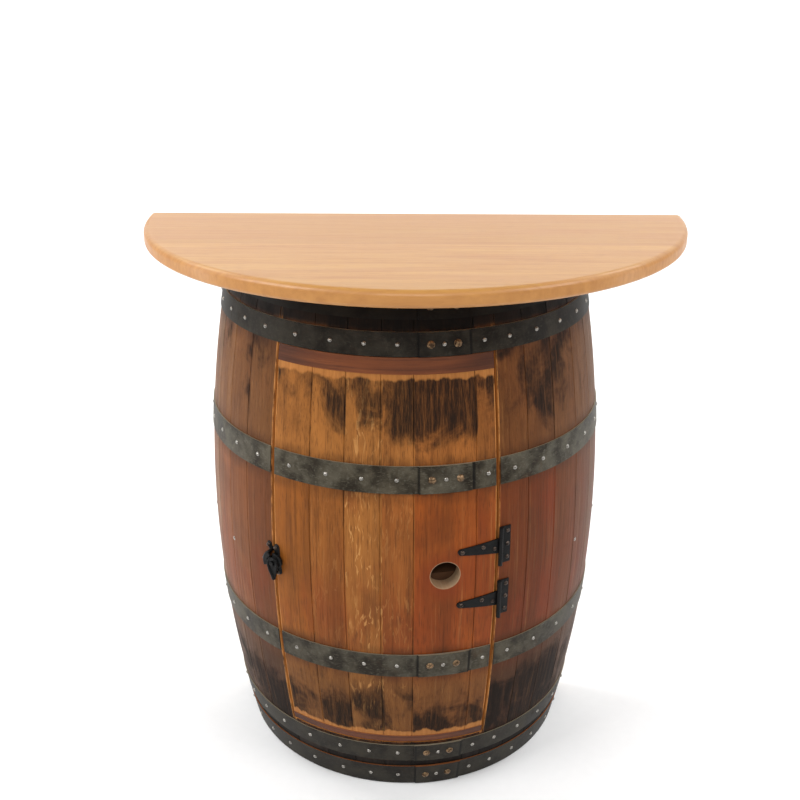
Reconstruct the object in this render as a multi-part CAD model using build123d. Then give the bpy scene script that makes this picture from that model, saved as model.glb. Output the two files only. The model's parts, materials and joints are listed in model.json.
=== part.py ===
from build123d import *
import math
import os

# Half wine barrel with a door and bottle racks inside, under a half-round oak top.
# The barrel is built on its own axis: z = 0 on the floor, the cut side at y = 0 and the
# bulge towards -Y.  Angles go round that axis from the front (-Y), positive to the right.
# Everything is moved at the end, so that the origin is the bottom centre of the whole piece.

# ---- Barrel ------------------------------------------------------------------------------
BARREL_HEIGHT = 900.0
BILGE_RADIUS = 344.5
BULGE = 50.5                # how much larger the radius is at the middle than at the ends
MID_HEIGHT = BARREL_HEIGHT / 2
HEAD_RADIUS = BILGE_RADIUS - BULGE
STAVE_THICKNESS = 26.0
GROOVE_WIDTH = 1.6          # eased edge that shows between two staves
GROOVE_DEPTH = 1.0
PANEL_THICKNESS = 12.0      # plywood back, which covers the sawn edges of the barrel
LEFT_STAVES = [-90.0, -78.6, -67.6, -57.4, -47.8]
RIGHT_STAVES = [35.8, 46.0, 57.0, 67.6, 78.8, 90.0]
DOOR_STAVES = [-24.9, -15.1, -5.5, 3.2, 19.9]

# ---- Door --------------------------------------------------------------------------------
OPENING_LEFT = -37.2
OPENING_RIGHT = 26.4
OPENING_BOTTOM = 106.0
OPENING_TOP = BARREL_HEIGHT - 91.0
DOOR_SIDE_GAP = 0.7         # degrees
DOOR_END_GAP = 3.5
TOP_RAIL_HEIGHT = 25.0
BOTTOM_RAIL_HEIGHT = 13.0
RAIL_PROUD = 0.8
BATTEN_THICKNESS = 12.0
BATTEN_HEIGHT = 40.0
DOOR_BATTENS = [330.0, BARREL_HEIGHT - 300.0]
DOOR_BATTEN_END = 3.5       # degrees from the door's edges
BUNG_ANGLE = 11.6
BUNG_HEIGHT = MID_HEIGHT + 1.0
BUNG_RADIUS = 24.0

# ---- Hoops: lower and upper edge, and the two angles that the lap covers -------------------
HOOP_THICKNESS = 1.8
HEAD_HOOP = (BARREL_HEIGHT - 39.0, BARREL_HEIGHT - 1.0, 4.5, 19.2)
UPPER_QUARTER_HOOP = (BARREL_HEIGHT - 93.0, BARREL_HEIGHT - 57.0, 4.5, 19.2)
UPPER_BILGE_HOOP = (BARREL_HEIGHT - 304.5, BARREL_HEIGHT - 260.0, 4.5, 18.4)
LOWER_BILGE_HOOP = (258.0, 302.5, 4.7, 19.0)
LOWER_QUARTER_HOOP = (61.5, 99.5, 4.0, 19.0)
FOOT_HOOP = (2.0, 46.0, 4.6, 19.5)
HOOP_END_INSET = 0.35       # degrees that a cut hoop stops short of the door gap
RIVET_ANGLES = (7.9, 15.3)
RIVET = dict(head_radius=6.2, head_height=3.6, shank_radius=3.0, length=2 * HOOP_THICKNESS)
HOOP_SCREW = dict(head_radius=3.4, head_height=2.2, shank_radius=1.9, length=16.0)

# ---- Heads and shelf -----------------------------------------------------------------------
HEAD_THICKNESS = 20.0
BOTTOM_HEAD_Z = 40.0
TOP_HEAD_Z = BARREL_HEIGHT - 58.0
CROZE_DEPTH = 5.0
HEAD_CLEARANCE = 0.3
HEAD_BOARDS = 3
SHELF_THICKNESS = 18.0
SHELF_Z = MID_HEIGHT - 29.0
SHELF_DOOR_CLEARANCE = 4.0
SHELF_SCREW_ANGLES = (-80.0, -56.5, 58.2, 80.0)
WOOD_SCREW = dict(head_radius=3.6, head_height=1.4, shank_radius=2.0, length=50.0)
PANEL_SCREW = WOOD_SCREW | dict(length=32.0)
PANEL_SCREW_END = 90.0      # from the barrel's ends to the first screws
PANEL_SCREW_ROWS = 5

# ---- Bottle rails: a bottle lies across two of them, along X --------------------------------
BOTTLE_RADIUS = 40.0
NECK_RADIUS = 17.0
BOTTLE_PITCH = 84.0
FIRST_BOTTLE = 58.0         # from the cut side to the first bottle's middle
BODY_SCALLOP = 22.0
NECK_SCALLOP = 12.0
RAIL_THICKNESS = 18.0
RAIL_HEIGHT = 45.0
RAIL_END = 12.0             # wood left past the last scallop
BODY_RAIL_X = -80.0
NECK_RAIL_X = 105.0
SHELF_BOTTLES = 3
FLOOR_BOTTLES = 2

# ---- Top -----------------------------------------------------------------------------------
TOP_RADIUS = 446.0
TOP_THICKNESS = 25.0
TOP_OFFSET_X = 16.4         # the top sits a little to the right of the barrel
TOP_EDGE_UPPER = 9.0
TOP_EDGE_LOWER = 6.0
FRONT_BOARD_DEPTH = 40.0
TOP_BOARDS = 5
BEARER_THICKNESS = 22.0
BEARER_WIDTH = 60.0
BEARER_X = 150.0
BEARER_LENGTH = HEAD_RADIUS - 32.0      # far enough to rest on the front staves
BEARER_SCREW = dict(head_radius=4.0, head_height=1.5, shank_radius=2.0, length=34.0)

# ---- Hinges --------------------------------------------------------------------------------
HINGE_ANGLE = 26.7
HINGE_HEIGHTS = (MID_HEIGHT + 40.0, MID_HEIGHT - 56.5)
HINGE_LIFT = 0.2            # knuckle clear of the staves
KNUCKLE_RADIUS = 3.5
PIN_RADIUS = 1.6
PIN_CLEARANCE = 0.05
KNUCKLE_GAP = 0.3
PLATE_THICKNESS = 2.0
LEAF_HEIGHT = 64.0
LEAF_WIDTH = 19.0
LEAF_TAIL = 3.0             # how far the lowest knuckle reaches below the leaf
STRAP_LENGTH = 71.0
STRAP_ROOT = 27.0
STRAP_TIP = 11.0
LEAF_SCREWS = [(13.5, 24.0), (13.5, 0.5), (13.5, -23.0)]
STRAP_SCREWS = [(-9.5, -3.5), (-29.0, 3.0), (-64.0, -0.5)]
BLACK_SCREW = dict(head_radius=3.8, head_height=2.4, shank_radius=1.8, length=20.0)

# ---- Latch: a cam lever on the door that turns in under a hook on the frame -----------------
# The lever hangs down with its cam free of the hook, and a turn brings the cam in under the lip.
LATCH_HEIGHT = MID_HEIGHT - 9.0
LATCH_OFFSET = 8.0          # pivot, to the right of the opening's left edge
LATCH_PLATE = 4.0
KEEPER_PLATE = 3.0
LATCH_BODY_RADIUS = 12.5
LATCH_BODY_HEIGHT = 6.0
LATCH_LUG_RADIUS = 6.0
LATCH_LUGS = [(0.0, 24.5), (3.5, -20.0)]
PIVOT_RADIUS = 3.0
PIVOT_CLEARANCE = 0.06
LEVER_GAP = 0.4
LEVER_THICKNESS = 4.5
LEVER_HUB_RADIUS = 10.5
LEVER_TAIL = 27.0
LEVER_TAIL_RADIUS = 4.5
CAM_RADIUS = 16.5
CAM_LOW_RADIUS = 9.5
CAM_START, CAM_END = 2.0, 104.0
CAM_THICKNESS = 2.6
PIVOT_CAP_RADIUS = 5.0
PIVOT_CAP_HEIGHT = 1.8
KEEPER_LUGS = [(-16.0, 25.5), (-27.0, -3.0)]
KEEPER_LIP_THICKNESS = 3.0
KEEPER_LIP_GAP = 0.5
KEEPER_WALL = 4.0
KEEPER_FOOT = 1.5           # how much wider the arch is at its foot
KEEPER_SPAN = (118.0, 202.0)
CAM_CLEARANCE = 1.5         # between the cam and the keeper's arch
HUB_CLEARANCE = 1.0         # between the lever's hub and the keeper's lip
LATCH_SINK = 6.0            # how far the castings are modelled into the staves, then cut back
LATCH_ROOM = 80.0           # height above and below the latch over which they are cut back
LATCH_ROOM_ANGLE = 25.0

ARC_RADIUS = (MID_HEIGHT ** 2 + BULGE ** 2) / (2 * BULGE)
ARC_CENTRE = BILGE_RADIUS - ARC_RADIUS
DOOR_LEFT = OPENING_LEFT + DOOR_SIDE_GAP
DOOR_RIGHT = OPENING_RIGHT - DOOR_SIDE_GAP
DOOR_BOTTOM = OPENING_BOTTOM + DOOR_END_GAP
DOOR_TOP = OPENING_TOP - DOOR_END_GAP
TOP_UNDERSIDE = BARREL_HEIGHT + BEARER_THICKNESS
FAR = 4 * BARREL_HEIGHT     # larger than anything here


def stave_radius(z, offset=0.0):
    """Distance of the stave's outer face from the barrel's axis, plus an offset outwards."""
    return math.sqrt((ARC_RADIUS + offset) ** 2 - (z - MID_HEIGHT) ** 2) + ARC_CENTRE


def layer(inner, outer, z0, z1, a0, a1):
    """A curved slab between two offsets from the staves' outer face, two heights and two angles."""
    def point(z, offset):
        return (stave_radius(z, offset), 0, z)
    zm = (z0 + z1) / 2
    outline = Wire([
        ThreePointArc(point(z0, outer), point(zm, outer), point(z1, outer)),
        Line(point(z1, outer), point(z1, inner)),
        ThreePointArc(point(z1, inner), point(zm, inner), point(z0, inner)),
        Line(point(z0, inner), point(z0, outer)),
    ])
    solid = revolve(Face(outline), axis=Axis.Z, revolution_arc=a1 - a0)
    return Rot(0, 0, a0 - 90) * solid


def surface_plane(angle, z, offset=0.0):
    """Plane on the barrel's face: x to the right round the barrel, y up, z straight out."""
    a = math.radians(angle)
    tilt = math.asin((z - MID_HEIGHT) / (ARC_RADIUS + offset))
    r = stave_radius(z, offset)
    out = (math.cos(tilt) * math.sin(a), -math.cos(tilt) * math.cos(a), math.sin(tilt))
    return Plane(origin=(r * math.sin(a), -r * math.cos(a), z),
                 x_dir=(math.cos(a), math.sin(a), 0), z_dir=out)


def upright_plane(angle, z, radius):
    """As surface_plane, but at a given radius and with its y axis vertical."""
    a = math.radians(angle)
    return Plane(origin=(radius * math.sin(a), -radius * math.cos(a), z),
                 x_dir=(math.cos(a), math.sin(a), 0), z_dir=(math.sin(a), -math.cos(a), 0))


def degrees_round(distance, z):
    """Angle round the barrel that a distance on its face covers at a height."""
    return math.degrees(distance / stave_radius(z))


def fastener(head_radius, head_height, shank_radius, length):
    """A domed fastener along z, its head seated on z = 0."""
    dome_radius = (head_radius ** 2 + head_height ** 2) / (2 * head_height)
    dome = Pos(0, 0, head_height - dome_radius) * Sphere(dome_radius)
    head_ = dome & (Pos(0, 0, head_height / 2) * Box(4 * head_radius, 4 * head_radius, head_height))
    shank = Cylinder(shank_radius, length, align=(Align.CENTER, Align.CENTER, Align.MAX))
    return head_ + shank


def reach(shape):
    box = shape.bounding_box()
    return box.min, box.max


def touching(a, b):
    (a0, a1), (b0, b1) = a, b
    return all((a0.X <= b1.X, b0.X <= a1.X, a0.Y <= b1.Y, b0.Y <= a1.Y, a0.Z <= b1.Z, b0.Z <= a1.Z))


def cut(piece, tools):
    """The piece less every tool that comes near it."""
    place = reach(piece)
    near = [tool for tool in tools if touching(place, reach(tool))]
    return piece.cut(*near) if near else piece


def front_of(piece, y):
    """What lies in front of a plane parallel to the cut side."""
    return piece & (Pos(0, y - FAR / 2, 0) * Box(FAR, FAR, FAR))


def slab(z0, z1):
    return Pos(0, 0, (z0 + z1) / 2) * Box(FAR, FAR, z1 - z0)


def groove(angle):
    """The shallow V that shows between two staves, bent along their face."""
    half = GROOVE_WIDTH / 2
    over = GROOVE_DEPTH / 2
    wide = half * (1 + over / GROOVE_DEPTH)
    r = BILGE_RADIUS
    corners = [(r + over, -wide, MID_HEIGHT), (r + over, wide, MID_HEIGHT), (r - GROOVE_DEPTH, 0, MID_HEIGHT)]
    section = Face(Wire.make_polygon(corners, close=True))
    bend = Axis((ARC_CENTRE, 0, MID_HEIGHT), (0, 1, 0))
    swing = math.degrees(math.asin((MID_HEIGHT + 10) / ARC_RADIUS))
    tool = revolve(section, axis=bend, revolution_arc=2 * swing).rotate(bend, -swing)
    return Rot(0, 0, angle - 90) * tool


# ---- Fasteners of the hoops ------------------------------------------------------------------
ALL_JOINTS = LEFT_STAVES + [OPENING_LEFT] + DOOR_STAVES + [OPENING_RIGHT] + RIGHT_STAVES
STAVE_MIDDLES = [(a + b) / 2 for a, b in zip(ALL_JOINTS, ALL_JOINTS[1:])]
FIXED_HOOPS = [HEAD_HOOP, UPPER_QUARTER_HOOP, LOWER_QUARTER_HOOP, FOOT_HOOP]
CUT_HOOPS = [UPPER_BILGE_HOOP, LOWER_BILGE_HOOP]


def on_door(angle):
    return OPENING_LEFT < angle < OPENING_RIGHT


def hoop_fasteners(hoop, angles):
    """A screw at each angle, seated on the hoop or on its lap."""
    bottom, top, lap0, lap1 = hoop
    z = (bottom + top) / 2
    lift = [HOOP_THICKNESS * (2 if lap0 < a < lap1 else 1) for a in angles]
    return [surface_plane(a, z, h).location * fastener(**HOOP_SCREW) for a, h in zip(angles, lift)]


def hoop_rivets(hoop):
    z = (hoop[0] + hoop[1]) / 2
    return [surface_plane(a, z, 2 * HOOP_THICKNESS).location * fastener(**RIVET) for a in RIVET_ANGLES]


fixed_angles = [a for a in STAVE_MIDDLES if not on_door(a)]
door_angles = [a for a in STAVE_MIDDLES if on_door(a)]
frame_hoop_screws = [s for hoop in FIXED_HOOPS for s in hoop_fasteners(hoop, STAVE_MIDDLES)]
frame_hoop_screws += [s for hoop in CUT_HOOPS for s in hoop_fasteners(hoop, fixed_angles)]
door_hoop_screws = [s for hoop in CUT_HOOPS for s in hoop_fasteners(hoop, door_angles)]
frame_rivets = [s for hoop in FIXED_HOOPS for s in hoop_rivets(hoop)]
door_rivets = [s for hoop in CUT_HOOPS for s in hoop_rivets(hoop)]


# ---- Hinges ----------------------------------------------------------------------------------
HINGE_RADIUS = BILGE_RADIUS + KNUCKLE_RADIUS + HINGE_LIFT


def hinge_tube(z0, z1, height, bore):
    plane = upright_plane(HINGE_ANGLE, height, HINGE_RADIUS)
    axis = Pos(plane.origin.X, plane.origin.Y, height + (z0 + z1) / 2)
    return axis * (Cylinder(KNUCKLE_RADIUS, z1 - z0) - Cylinder(bore, z1 - z0))


def hinge_bore(height):
    plane = upright_plane(HINGE_ANGLE, height, HINGE_RADIUS)
    bore = Cylinder(PIN_RADIUS + PIN_CLEARANCE, 2 * LEAF_HEIGHT)
    return Pos(plane.origin.X, plane.origin.Y, height) * bore


def plate(outline, height):
    """A hinge plate of the given outline, bent round the staves."""
    plane = upright_plane(HINGE_ANGLE, height, HINGE_RADIUS)
    block = plane.location * extrude(outline, amount=STRAP_LENGTH, both=True)
    skin = layer(0, PLATE_THICKNESS, height - LEAF_HEIGHT, height + LEAF_HEIGHT,
                 HINGE_ANGLE - 20, HINGE_ANGLE + 20)
    return skin & block


def hinge_leaf(height):
    """The upright plate on the frame, with the knuckles above and below the strap's."""
    half = LEAF_HEIGHT / 2
    clear = KNUCKLE_RADIUS + KNUCKLE_GAP
    body = Pos((clear + LEAF_WIDTH) / 2, 0) * Rectangle(LEAF_WIDTH - clear, LEAF_HEIGHT)
    tab = half - STRAP_ROOT / 2
    tabs = [Pos(clear / 2 + 0.5, s * (half - tab / 2)) * Rectangle(clear, tab) for s in (1, -1)]
    leaf = plate(body + tabs[0] + tabs[1], height)
    for low, high in ((STRAP_ROOT / 2, half), (-half - LEAF_TAIL, -STRAP_ROOT / 2)):
        leaf = leaf + hinge_tube(low, high, height, PIN_RADIUS)
    plane = upright_plane(HINGE_ANGLE, height, HINGE_RADIUS)
    return leaf - Pos(plane.origin.X, plane.origin.Y, height) * Cylinder(PIN_RADIUS, 2 * LEAF_HEIGHT)


def hinge_strap(height):
    """The tapered plate on the door, with the middle knuckle."""
    tip = STRAP_TIP / 2
    root = STRAP_ROOT / 2 - KNUCKLE_GAP
    end = -STRAP_LENGTH + tip
    outline = Face(Wire([
        Line((0, root), (end, tip)),
        ThreePointArc((end, tip), (end - tip, 0), (end, -tip)),
        Line((end, -tip), (0, -root)),
        Line((0, -root), (0, root)),
    ]))
    strap = plate(outline, height) + hinge_tube(-root, root, height, PIN_RADIUS + PIN_CLEARANCE)
    return strap - hinge_bore(height)


def hinge_pin(height):
    plane = upright_plane(HINGE_ANGLE, height, HINGE_RADIUS)
    low, high = -LEAF_HEIGHT / 2 - LEAF_TAIL, LEAF_HEIGHT / 2
    pin = Pos(0, 0, (low + high) / 2) * Cylinder(PIN_RADIUS, high - low)
    cap = Pos(0, 0, high + 0.6) * Cylinder(KNUCKLE_RADIUS - 0.6, 1.2)
    return Pos(plane.origin.X, plane.origin.Y, height) * (pin + cap)


def plate_screws(height, places):
    screws = []
    for x, y in places:
        angle = HINGE_ANGLE + degrees_round(x, height + y)
        screws.append(surface_plane(angle, height + y, PLATE_THICKNESS).location * fastener(**BLACK_SCREW))
    return screws


leaf_screws = [s for h in HINGE_HEIGHTS for s in plate_screws(h, LEAF_SCREWS)]
strap_screws = [s for h in HINGE_HEIGHTS for s in plate_screws(h, STRAP_SCREWS)]


# ---- Latch -----------------------------------------------------------------------------------
LATCH_ANGLE = OPENING_LEFT + degrees_round(LATCH_OFFSET, LATCH_HEIGHT)
latch_plane = surface_plane(LATCH_ANGLE, LATCH_HEIGHT)
barrel_body = layer(-BILGE_RADIUS / 2, 0, LATCH_HEIGHT - LATCH_ROOM, LATCH_HEIGHT + LATCH_ROOM,
                    LATCH_ANGLE - LATCH_ROOM_ANGLE, LATCH_ANGLE + LATCH_ROOM_ANGLE)
CAM_LOW = LATCH_BODY_HEIGHT + LEVER_GAP
LEVER_LOW = CAM_LOW + CAM_THICKNESS
LIP_LOW = LEVER_LOW + KEEPER_LIP_GAP


def disc(x, y, radius, z0, z1):
    return Pos(x, y, (z0 + z1) / 2) * Cylinder(radius, z1 - z0)


def bar(start, end, radius, z0, z1):
    """A flat bar with round ends between two points."""
    (x0, y0), (x1, y1) = start, end
    length = math.hypot(x1 - x0, y1 - y0)
    turn = math.degrees(math.atan2(y1 - y0, x1 - x0))
    centre = Pos((x0 + x1) / 2, (y0 + y1) / 2, (z0 + z1) / 2)
    middle = centre * Rot(0, 0, turn) * Box(length, 2 * radius, z1 - z0)
    return middle + disc(x0, y0, radius, z0, z1) + disc(x1, y1, radius, z0, z1)


def tapered(start, r0, end, r1, z0, z1):
    """A flat piece hulled round two circles."""
    (x0, y0), (x1, y1) = start, end
    d = math.hypot(x1 - x0, y1 - y0)
    turn = math.atan2(y1 - y0, x1 - x0)
    lean = math.acos((r0 - r1) / d)
    def rim(x, y, r, side):
        return (x + r * math.cos(turn + side * lean), y + r * math.sin(turn + side * lean), z0)
    corners = [rim(x0, y0, r0, 1), rim(x1, y1, r1, 1), rim(x1, y1, r1, -1), rim(x0, y0, r0, -1)]
    web = extrude(Face(Wire.make_polygon(corners, close=True)), amount=z1 - z0, dir=(0, 0, 1))
    return web + disc(x0, y0, r0, z0, z1) + disc(x1, y1, r1, z0, z1)


def seated(shape):
    """A latch piece in its place, its back fitted to the staves."""
    return (latch_plane.location * shape) - barrel_body


def latch_base():
    top_lug, low_lug = LATCH_LUGS
    base = bar(top_lug, low_lug, LATCH_LUG_RADIUS, -LATCH_SINK, LATCH_PLATE)
    base = base + disc(0, 0, LATCH_BODY_RADIUS, -LATCH_SINK, LATCH_BODY_HEIGHT)
    top = LEVER_LOW + LEVER_THICKNESS
    base = base + disc(0, 0, PIVOT_RADIUS, 0, top + LEVER_GAP)
    base = base + disc(0, 0, PIVOT_CAP_RADIUS, top + LEVER_GAP, top + LEVER_GAP + PIVOT_CAP_HEIGHT)
    return seated(base)


def polar(radius, angle, z=0.0):
    a = math.radians(angle)
    return (radius * math.cos(a), radius * math.sin(a), z)


def latch_lever():
    """Hub, tail and the low cam that turns in under the keeper's lip."""
    start, middle, end = [polar(CAM_RADIUS, a) for a in (CAM_START, (CAM_START + CAM_END) / 2, CAM_END)]
    sector = Face(Wire([
        Line((0, 0, 0), start),
        ThreePointArc(start, middle, end),
        Line(end, (0, 0, 0)),
    ]))
    cam = Pos(0, 0, CAM_LOW) * extrude(sector, amount=CAM_THICKNESS)
    cam = cam + disc(0, 0, CAM_LOW_RADIUS, CAM_LOW, LEVER_LOW)
    tail = tapered((0, 0), LEVER_HUB_RADIUS, (0, -LEVER_TAIL), LEVER_TAIL_RADIUS,
                   LEVER_LOW, LEVER_LOW + LEVER_THICKNESS)
    bore = disc(0, 0, PIVOT_RADIUS + PIVOT_CLEARANCE, 0, 2 * LEVER_LOW + LEVER_THICKNESS)
    return latch_plane.location * (cam + tail - bore)


def arch(r0, r1, z0, z1):
    """A curved wall round the latch's pivot, over the keeper's span."""
    start, end = KEEPER_SPAN
    mid = (start + end) / 2
    outline = Wire([
        ThreePointArc(polar(r1, start, z0), polar(r1, mid, z0), polar(r1, end, z0)),
        Line(polar(r1, end, z0), polar(r0, end, z0)),
        ThreePointArc(polar(r0, end, z0), polar(r0, mid, z0), polar(r0, start, z0)),
        Line(polar(r0, start, z0), polar(r1, start, z0)),
    ])
    return extrude(Face(outline), amount=z1 - z0, dir=(0, 0, 1))


def latch_keeper():
    """Two lugs on the frame and an arched lip that the cam turns in under."""
    wall_inner = CAM_RADIUS + CAM_CLEARANCE
    wall_outer = wall_inner + KEEPER_WALL
    lip_inner = LEVER_HUB_RADIUS + HUB_CLEARANCE
    top = LIP_LOW + KEEPER_LIP_THICKNESS
    keeper = arch(wall_inner, wall_outer, -LATCH_SINK, top) + arch(lip_inner, wall_outer, LIP_LOW, top)
    keeper = keeper + arch(wall_inner, wall_outer + KEEPER_FOOT, -LATCH_SINK, KEEPER_PLATE)
    root = wall_inner + (KEEPER_WALL + LATCH_LUG_RADIUS) / 2
    for x, y in KEEPER_LUGS:
        shrink = root / math.hypot(x, y)
        keeper = keeper + bar((x, y), (x * shrink, y * shrink), LATCH_LUG_RADIUS, -LATCH_SINK, KEEPER_PLATE)
    return seated(keeper)


def latch_screws(lugs, seat):
    return [latch_plane.location * Pos(x, y, seat) * fastener(**BLACK_SCREW) for x, y in lugs]


base_screws = latch_screws(LATCH_LUGS, LATCH_PLATE)
keeper_screws = latch_screws(KEEPER_LUGS, KEEPER_PLATE)


# ---- Shelf, heads and panel --------------------------------------------------------------------
def upright_cylinder(radius, z0, z1):
    return Pos(0, 0, (z0 + z1) / 2) * Cylinder(radius, z1 - z0)


def filled(offset):
    """The whole half barrel inside an offset from the staves' outer face."""
    ring = layer(-BILGE_RADIUS * 0.8, offset, 0, BARREL_HEIGHT, -90, 90)
    return ring + upright_cylinder(BILGE_RADIUS * 0.5, 0, BARREL_HEIGHT)


def croze_radius(z):
    """The croze's radius, taken at the head's face that is nearer to the barrel's end."""
    end = z if z < MID_HEIGHT else z + HEAD_THICKNESS
    return stave_radius(end, -STAVE_THICKNESS) + CROZE_DEPTH


def croze(z):
    return upright_cylinder(croze_radius(z), z, z + HEAD_THICKNESS)


def head(z):
    """Boards of a barrel head, edged into the croze."""
    radius = croze_radius(z)
    half = front_of(upright_cylinder(radius - HEAD_CLEARANCE, z, z + HEAD_THICKNESS), -PANEL_THICKNESS)
    depth = (radius - PANEL_THICKNESS) / HEAD_BOARDS
    boards = []
    for i in range(HEAD_BOARDS):
        y = -PANEL_THICKNESS - (i + 0.5) * depth
        boards.append(half & (Pos(0, y, z + HEAD_THICKNESS / 2) * Box(FAR, depth, HEAD_THICKNESS)))
    return boards


shelf_screws = [surface_plane(a, SHELF_Z + SHELF_THICKNESS / 2).location * fastener(**WOOD_SCREW)
                for a in SHELF_SCREW_ANGLES]


def shelf():
    """Fitted inside the staves and set back behind the door."""
    inside = front_of(filled(-STAVE_THICKNESS), -PANEL_THICKNESS)
    board = inside & slab(SHELF_Z, SHELF_Z + SHELF_THICKNESS)
    door_room = layer(-STAVE_THICKNESS - SHELF_DOOR_CLEARANCE, 0, SHELF_Z - SHELF_THICKNESS,
                      SHELF_Z + 2 * SHELF_THICKNESS, OPENING_LEFT, OPENING_RIGHT)
    return cut(board - door_room, shelf_screws)


def panel_screw(side, z):
    x = side * (stave_radius(z) - STAVE_THICKNESS / 2)
    return Pos(x, -PANEL_SCREW["head_height"], z) * Rot(-90, 0, 0) * fastener(**PANEL_SCREW)


panel_screw_pitch = (BARREL_HEIGHT - 2 * PANEL_SCREW_END) / (PANEL_SCREW_ROWS - 1)
panel_screws = [panel_screw(side, PANEL_SCREW_END + i * panel_screw_pitch)
                for i in range(PANEL_SCREW_ROWS) for side in (-1, 1)]


def back_panel():
    strip = Pos(0, -PANEL_THICKNESS / 2, MID_HEIGHT) * Box(FAR, PANEL_THICKNESS, BARREL_HEIGHT)
    return cut(filled(0) & strip, panel_screws)


# ---- Bottle rails --------------------------------------------------------------------------------
def bottle_rail(x, z, bottles, radius, depth):
    """A scalloped rail that runs front to back."""
    length = FIRST_BOTTLE + (bottles - 1) * BOTTLE_PITCH + BOTTLE_RADIUS + RAIL_END - PANEL_THICKNESS
    middle = Pos(x, -PANEL_THICKNESS - length / 2, z + RAIL_HEIGHT / 2)
    rail = middle * Box(RAIL_THICKNESS, length, RAIL_HEIGHT)
    bottle_z = z + RAIL_HEIGHT - depth + radius
    for i in range(bottles):
        y = -(FIRST_BOTTLE + i * BOTTLE_PITCH)
        rail = rail - Pos(x, y, bottle_z) * Rot(0, 90, 0) * Cylinder(radius, 2 * RAIL_THICKNESS)
    return rail


def rack(z, bottles):
    return [bottle_rail(BODY_RAIL_X, z, bottles, BOTTLE_RADIUS, BODY_SCALLOP),
            bottle_rail(NECK_RAIL_X, z, bottles, NECK_RADIUS, NECK_SCALLOP)]


# ---- Top -------------------------------------------------------------------------------------------
def half_round_top():
    blank = upright_cylinder(TOP_RADIUS, TOP_UNDERSIDE, TOP_UNDERSIDE + TOP_THICKNESS)
    whole = Pos(TOP_OFFSET_X, 0, 0) * blank
    whole = fillet(whole.edges().group_by(Axis.Z)[-1], TOP_EDGE_UPPER)
    whole = fillet(whole.edges().group_by(Axis.Z)[0], TOP_EDGE_LOWER)
    return front_of(whole, 0)


def top_boards():
    """Boards along X, glued edge to edge; the narrow one is at the front."""
    whole = half_round_top()
    depth = (TOP_RADIUS - FRONT_BOARD_DEPTH) / (TOP_BOARDS - 1)
    z = TOP_UNDERSIDE + TOP_THICKNESS / 2
    boards = []
    for i in range(TOP_BOARDS):
        far = i * depth
        near = far + depth if i < TOP_BOARDS - 1 else TOP_RADIUS
        strip = Pos(0, -(far + near) / 2, z) * Box(FAR, near - far, TOP_THICKNESS)
        boards.append(cut(whole & strip, bearer_screws))
    return boards


def bearers():
    y = -PANEL_THICKNESS - BEARER_LENGTH / 2
    z = BARREL_HEIGHT + BEARER_THICKNESS / 2
    return [cut(Pos(s * BEARER_X, y, z) * Box(BEARER_WIDTH, BEARER_LENGTH, BEARER_THICKNESS), bearer_screws)
            for s in (-1, 1)]


def bearer_screw_places():
    """Two screws through each bearer into every board that the bearer crosses, clear of the staves."""
    depth = (TOP_RADIUS - FRONT_BOARD_DEPTH) / (TOP_BOARDS - 1)
    reach_y = PANEL_THICKNESS + BEARER_LENGTH
    chime = HEAD_RADIUS - STAVE_THICKNESS - 2 * BEARER_SCREW["head_radius"]
    places = []
    for s in (-1, 1):
        for side in (-1, 1):
            x = s * BEARER_X + side * BEARER_WIDTH / 4
            for i in range(TOP_BOARDS):
                y = (i + 0.5) * depth
                if y < reach_y and math.hypot(x, y) < chime:
                    places.append((x, -y))
    return places


bearer_screw = Rot(180, 0, 0) * fastener(**BEARER_SCREW)
bearer_screws = [Pos(x, y, BARREL_HEIGHT + BEARER_SCREW["head_height"]) * bearer_screw
                 for x, y in bearer_screw_places()]


# ---- Staves ------------------------------------------------------------------------------------------
frame_fasteners = frame_hoop_screws + shelf_screws + panel_screws + leaf_screws + keeper_screws
door_fasteners = door_hoop_screws + strap_screws + base_screws
crozes = [croze(BOTTOM_HEAD_Z), croze(TOP_HEAD_Z)]
bung = surface_plane(BUNG_ANGLE, BUNG_HEIGHT).location * Cylinder(BUNG_RADIUS, 4 * STAVE_THICKNESS)


def stave(z0, z1, a0, a1, fasteners):
    piece = layer(-STAVE_THICKNESS, 0, z0, z1, a0, a1)
    piece = piece.cut(groove(a0), groove(a1))
    return cut(cut(piece, crozes), fasteners)


def staves(z0, z1, joints, fasteners):
    return [stave(z0, z1, a0, a1, fasteners) for a0, a1 in zip(joints, joints[1:])]


def cut_hoop_piece(hoop, a0, a1):
    """Hoop between two angles, in front of the back panel, with its lap if it has one there."""
    z0, z1, lap0, lap1 = hoop
    band = layer(0, HOOP_THICKNESS, z0, z1, a0, a1)
    if a0 < lap0 and lap1 < a1:
        band = band + layer(HOOP_THICKNESS, 2 * HOOP_THICKNESS, z0, z1, lap0, lap1)
    return front_of(band, -PANEL_THICKNESS)


def hoop_piece(hoop, a0, a1, fasteners):
    return cut(cut_hoop_piece(hoop, a0, a1), fasteners)


def bilge_hoop(hoop):
    """The left, door and right pieces of a hoop that is sawn through at the door's gaps."""
    left = hoop_piece(hoop, -90, OPENING_LEFT - HOOP_END_INSET, frame_hoop_screws)
    middle = hoop_piece(hoop, DOOR_LEFT + HOOP_END_INSET, DOOR_RIGHT - HOOP_END_INSET,
                        door_hoop_screws + door_rivets)
    right = hoop_piece(hoop, OPENING_RIGHT + HOOP_END_INSET, 90, frame_hoop_screws)
    return left, middle, right


def door_rail(z0, z1):
    """A strip across the door's end, a little proud of the staves."""
    return layer(-STAVE_THICKNESS, RAIL_PROUD, z0, z1, DOOR_LEFT, DOOR_RIGHT)


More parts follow.
